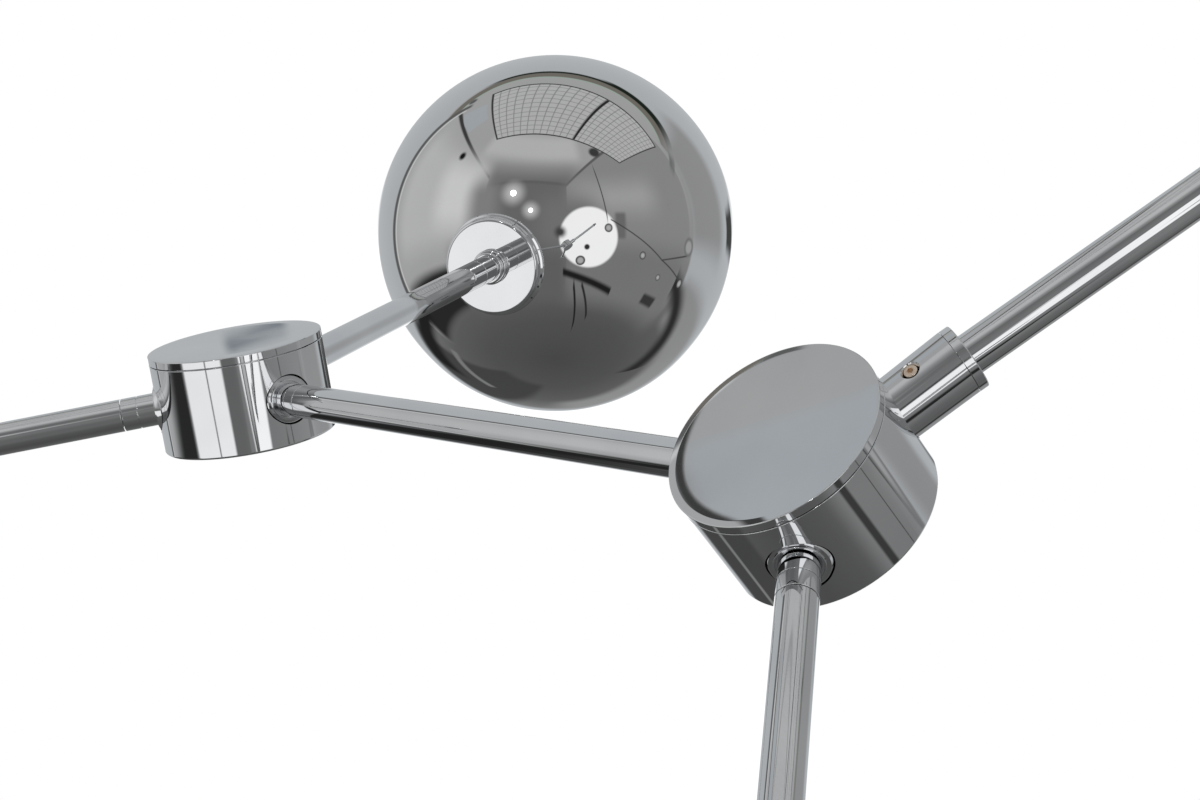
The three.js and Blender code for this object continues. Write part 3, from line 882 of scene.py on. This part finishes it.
def studio_world():
    """White to the camera. Mirrors see a photographer's room: bearing 0 lies beyond the object, 90 to
    its right and 180 behind the camera, and height is above the horizon, all in degrees."""
    world = bpy.data.worlds.new("studio")
    bpy.context.scene.world = world
    world.use_nodes = True
    nodes = Nodes(world.node_tree)
    direction = nodes.add("ShaderNodeTexCoord").outputs["Generated"]
    parts = nodes.add("ShaderNodeSeparateXYZ", Vector=direction).outputs
    degrees = 180 / math.pi
    bearing = nodes.math("MULTIPLY", nodes.math("ARCTAN2", parts[0], parts[1]), degrees)
    height = nodes.math("MULTIPLY", nodes.math("ARCSINE", parts[2]), degrees)
    turn = nodes.math("WRAP", bearing, 360)

    share = nodes.math("DIVIDE", nodes.math("ADD", height, 90), 180)
    steps = [(-90, 74), (-60, 82), (-42, 92), (-30, 108), (-15, 126), (-4, 138), (12, 148), (35, 154), (90, 156)]
    light = nodes.ramp(share, [((h + 90) / 180, tone(level)[:3]) for h, level in steps])

    def paint(base, cover, level, tint=(1, 1, 1)):
        return nodes.mix(cover, base, tone(level, tint))

    def product(*covers):
        result = covers[0]
        for cover in covers[1:]:
            result = nodes.math("MULTIPLY", result, cover)
        return result

    def patch(base, bearings, heights, level, soft=2.0, tint=(1, 1, 1)):
        """Paints one rectangle of the room. Bearings below zero are left of straight ahead."""
        around = bearing if bearings[0] < 0 else turn
        cover = product(nodes.between(around, *bearings, soft), nodes.between(height, *heights, soft))
        return paint(base, cover, level, tint)

    def stripe(base, start, end, half_width, level, soft=0.5):
        """Paints a straight band between two (bearing, height) places. Its width is square to it."""
        slope = (end[1] - start[1]) / (end[0] - start[0])
        stretch = math.hypot(1, slope)
        along = nodes.math("SUBTRACT", turn, start[0])
        middle = nodes.math("ADD", nodes.math("MULTIPLY", along, slope), start[1])
        off = nodes.math("DIVIDE", nodes.math("SUBTRACT", height, middle), stretch)
        cover = product(
            nodes.between(turn, start[0], end[0], 0.5), nodes.between(off, -half_width, half_width, soft))
        return paint(base, cover, level)

    def disc(base, at, radius, level, soft=1.0, strength=1.0):
        """Paints a round light or dark spot."""
        az, el = (math.radians(a) for a in at)
        centre = (math.sin(az) * math.cos(el), math.cos(az) * math.cos(el), math.sin(el))
        dot = nodes.add("ShaderNodeVectorMath", {"operation": "DOT_PRODUCT"}, i0=direction, i1=centre)
        angle = nodes.math("MULTIPLY", nodes.math("ARCCOSINE", dot.outputs["Value"]), degrees)
        return paint(base, nodes.math("MULTIPLY", nodes.between(angle, -radius, radius, soft), strength), level)

    def wall(base, facing_bearing, steepness, bearings, level, edge_level):
        """Paints a flat wall and the dark line where it meets the ceiling. Steepness is the ceiling's
        height over the wall's distance."""
        off = nodes.math("DIVIDE", nodes.math("SUBTRACT", turn, facing_bearing), degrees)
        top = nodes.math("ARCTANGENT", nodes.math("MULTIPLY", nodes.math("COSINE", off), steepness))
        over = nodes.math("SUBTRACT", height, nodes.math("MULTIPLY", top, degrees))
        across = nodes.between(turn, *bearings, 0.6)
        above_floor = nodes.between(height, -34, 100, 10)
        base = paint(base, product(across, above_floor, nodes.between(over, -150, 0, 0.4)), level)
        return paint(base, product(across, nodes.between(over, -0.9, 0.9, 0.5)), edge_level)

    # ceiling behind the camera, then the wall to the left, the wall to the right and the one behind
    light = patch(light, (160, 240), (42, 60), 174, 5)
    light = patch(light, (160, 236), (6, 37), 100, 12)
    light = wall(light, 285, 1.14, (226, 302), 158, 60)
    light = wall(light, 105, 1.3, (84, 172), 132, 92)
    light = wall(light, 195, 0.56, (172, 226), 102, 96)
    light = patch(light, (228, 296), (-6, 40), 176, 8)
    light = patch(light, (232, 262), (4, 34), 198, 9)
    light = patch(light, (112, 168), (12, 26), 158, 11)
    light = patch(light, (84, 172), (-45, -8), 116, 9)
    light = patch(light, (172, 250), (-45, -8), 96, 7)
    light = patch(light, (152, 190), (-12, 20), 112, 11)
    light = patch(light, (216, 236), (-8, 28), 126, 8)
    light = patch(light, (270, 296.5), (49.5, 60), 160, 0.3, (0.94, 1.0, 1.05))

    # ceiling panel with a fine grid, a border and one thick bar, on the plane overhead
    overhead = nodes.math("MAXIMUM", parts[2], 0.05)
    right = nodes.math("DIVIDE", parts[0], overhead)
    ahead = nodes.math("DIVIDE", parts[1], overhead)
    lean = math.radians(13)
    across = nodes.math(
        "SUBTRACT", nodes.math("MULTIPLY", right, math.cos(lean)), nodes.math("MULTIPLY", ahead, math.sin(lean)))
    away = nodes.math(
        "ADD", nodes.math("MULTIPLY", right, math.sin(lean)), nodes.math("MULTIPLY", ahead, math.cos(lean)))
    edge = 0.02
    above = nodes.between(height, 25, 100, 1)
    outside = product(nodes.between(across, -0.53, 1.11, 0.004), nodes.between(away, -0.54, 0.31, 0.004), above)
    inside = product(
        nodes.between(across, edge - 0.53, 1.11 - edge, 0.004), nodes.between(away, edge - 0.54, 0.31 - edge, 0.004), above)
    light = paint(light, outside, 60)
    light = paint(light, inside, 172)
    for place_on_panel in (across, away):
        step = nodes.math("FRACT", nodes.math("DIVIDE", place_on_panel, 0.07))
        light = paint(light, product(inside, nodes.between(step, 0.44, 0.56, 0.05)), 128)
    light = paint(light, product(inside, nodes.between(across, 0.32, 0.345, 0.004)), 45)

    # white sheet beyond the object, hung from an arched beam
    middle = nodes.math("SUBTRACT", bearing, 8)
    rise = nodes.math("SUBTRACT", 60, nodes.math("MULTIPLY", nodes.math("MULTIPLY", middle, middle), 0.0045))
    above_arc = nodes.math("SUBTRACT", height, rise)
    facing = nodes.between(bearing, -55, 80, 1)
    light = paint(light, product(facing, nodes.between(above_arc, -110, -3, 1), nodes.between(height, -22, 90, 4)),
                  168, (0.96, 1.0, 1.03))
    light = paint(light, product(nodes.between(bearing, 0, 78, 4), nodes.between(height, -38, -18, 5)), 136)
    light = paint(light, product(facing, nodes.between(above_arc, -1.5, 4, 0.8)), 104, (1.08, 1.0, 0.88))
    light = paint(light, product(facing, nodes.between(above_arc, 4, 5.2, 0.4)), 158, (0.85, 1.06, 0.9))
    for bearings, depth in (((-30, 82), -3.6), ((25, 84), -5.5)):
        shade = product(nodes.between(bearing, *bearings, 6), nodes.between(above_arc, depth, -1.2, 0.7))
        light = paint(light, shade, 36, (0.8, 1.2, 0.85))
    light = patch(light, (-58.5, -57), (-30, 50), 190, 0.6)
    light = patch(light, (-56.5, -53), (-30, 52), 88, 1)
    light = patch(light, (44, 82), (-4, 40), 138, 6)
    light = patch(light, (-11.6, -10.2), (20.5, 20.85), 118, 0.15, (0.9, 1.0, 1.12))
    light = patch(light, (-18, 18), (-12, 5), 252, 4)
    light = patch(light, (20, 35), (0, 7), 64, 1.5)

    # dark furniture and bright openings near the floor
    light = patch(light, (-45, -10), (-62, -20), 68, 3)
    light = patch(light, (-50, -22), (-41, -38), 118, 1)
    light = stripe(light, (38, -48), (88, -22), 4.5, 48, 4)
    light = patch(light, (97, 109), (-38.5, -33), 58, 1.2)
    light = patch(light, (252, 300), (-40, -17), 44, 3)
    light = patch(light, (294, 334), (-31, -21), 38, 3)
    light = stripe(light, (137, -37), (174, -27), 2.2, 36, 1.5)
    light = patch(light, (134, 141), (-5, 10), 104, 1.5)
    light = patch(light, (192, 250), (-37, -18), 228, 2)
    light = patch(light, (214, 216), (-37, -18), 120, 0.8)
    light = stripe(light, (158, -64), (166, -34), 0.8, 38)
    light = stripe(light, (148, -56), (160, -34), 0.8, 46)

    # lamps: a big white reflector beside the camera, and two small bright bulbs
    light = disc(light, (158, -5), 18.6, 240)
    light = disc(light, (159, -11), 1.7, 50, 0.6)
    light = disc(light, (176, -2), 3.2, 66, 2.2)

    # more arms and joints of the same lighting frame, hung between the reflector and the right wall
    for start, end in (((105, -14), (144, 6)), ((84, -9), (105, -14)), ((146, 6), (151, 38)), ((83, -21), (105, -14))):
        light = stripe(light, start, end, 0.35, 70, 0.3)
    for at, size in (((145.5, 1), 2.6), ((162.7, -19.5), 3), ((120.4, -13.4), 2.2), ((83.2, -21.4), 2.2), ((104, -23), 1.7)):
        light = disc(light, at, size, 56, 0.4)
        light = disc(light, at, size * 0.66, 168, 0.8)
    light = disc(light, (83.8, -5.2), 4, 104, 1)
    light = disc(light, (83.8, -5.2), 2.8, 152, 1)
    for at, size, level in (((207, 22), 1.5, 900), ((194.7, 11.5), 1.1, 700)):
        light = disc(light, at, size * 3.6, 208, size * 3.2, 0.7)
        light = disc(light, at, size, level, 0.5)
    light = disc(light, (257, 39), 2.0, 30)
    light = disc(light, (311, 51), 1.6, 90, 0.6)
    light = disc(light, (146, 48), 3.0, 60)

    seen = nodes.add("ShaderNodeBackground", Color=(1, 1, 1, 1), Strength=1.0)
    mirrored = nodes.add("ShaderNodeBackground", Color=light, Strength=1.0)
    camera_ray = nodes.add("ShaderNodeLightPath").outputs["Is Camera Ray"]
    both = nodes.add("ShaderNodeMixShader", i0=camera_ray, i1=mirrored.outputs[0], i2=seen.outputs[0])
    nodes.add("ShaderNodeOutputWorld", Surface=both.outputs[0])


def studio_floor():
    """A pale round floor below the object, kept out of its mirrors."""
    name = "floor"
    floor_points = [(-2, 0), (-2, 2600), (0, 2600, 1.5), (0, 0)]
    floor = new_object(name, turned_mesh(name, floor_points, 128), place(Vector((0, 0.35, -0.55)), UP, Vector((1, 0, 0))))
    pale = finish_material("floor", (0.84, 0.84, 0.83), (0.8, 0.8, 0.79), 0.0, (0.6, 0.8), 60.0, 0.05)
    floor.data.materials.append(pale)
    floor.visible_glossy = False


def studio_camera():
    """Level, looking straight along +Y from in front of hub B."""
    camera = bpy.data.objects.new("camera", bpy.data.cameras.new("camera"))
    bpy.context.scene.collection.objects.link(camera)
    camera.location = (-0.0645, -0.7537, 0.0323)
    camera.rotation_euler = (math.pi / 2, 0, 0)
    camera.data.lens = 81.82
    camera.data.sensor_width = 36
    camera.data.clip_start = 0.05
    camera.data.clip_end = 20
    bpy.context.scene.camera = camera


studio_world()
studio_floor()
studio_camera()
bpy.context.scene.view_settings.view_transform = "Standard"
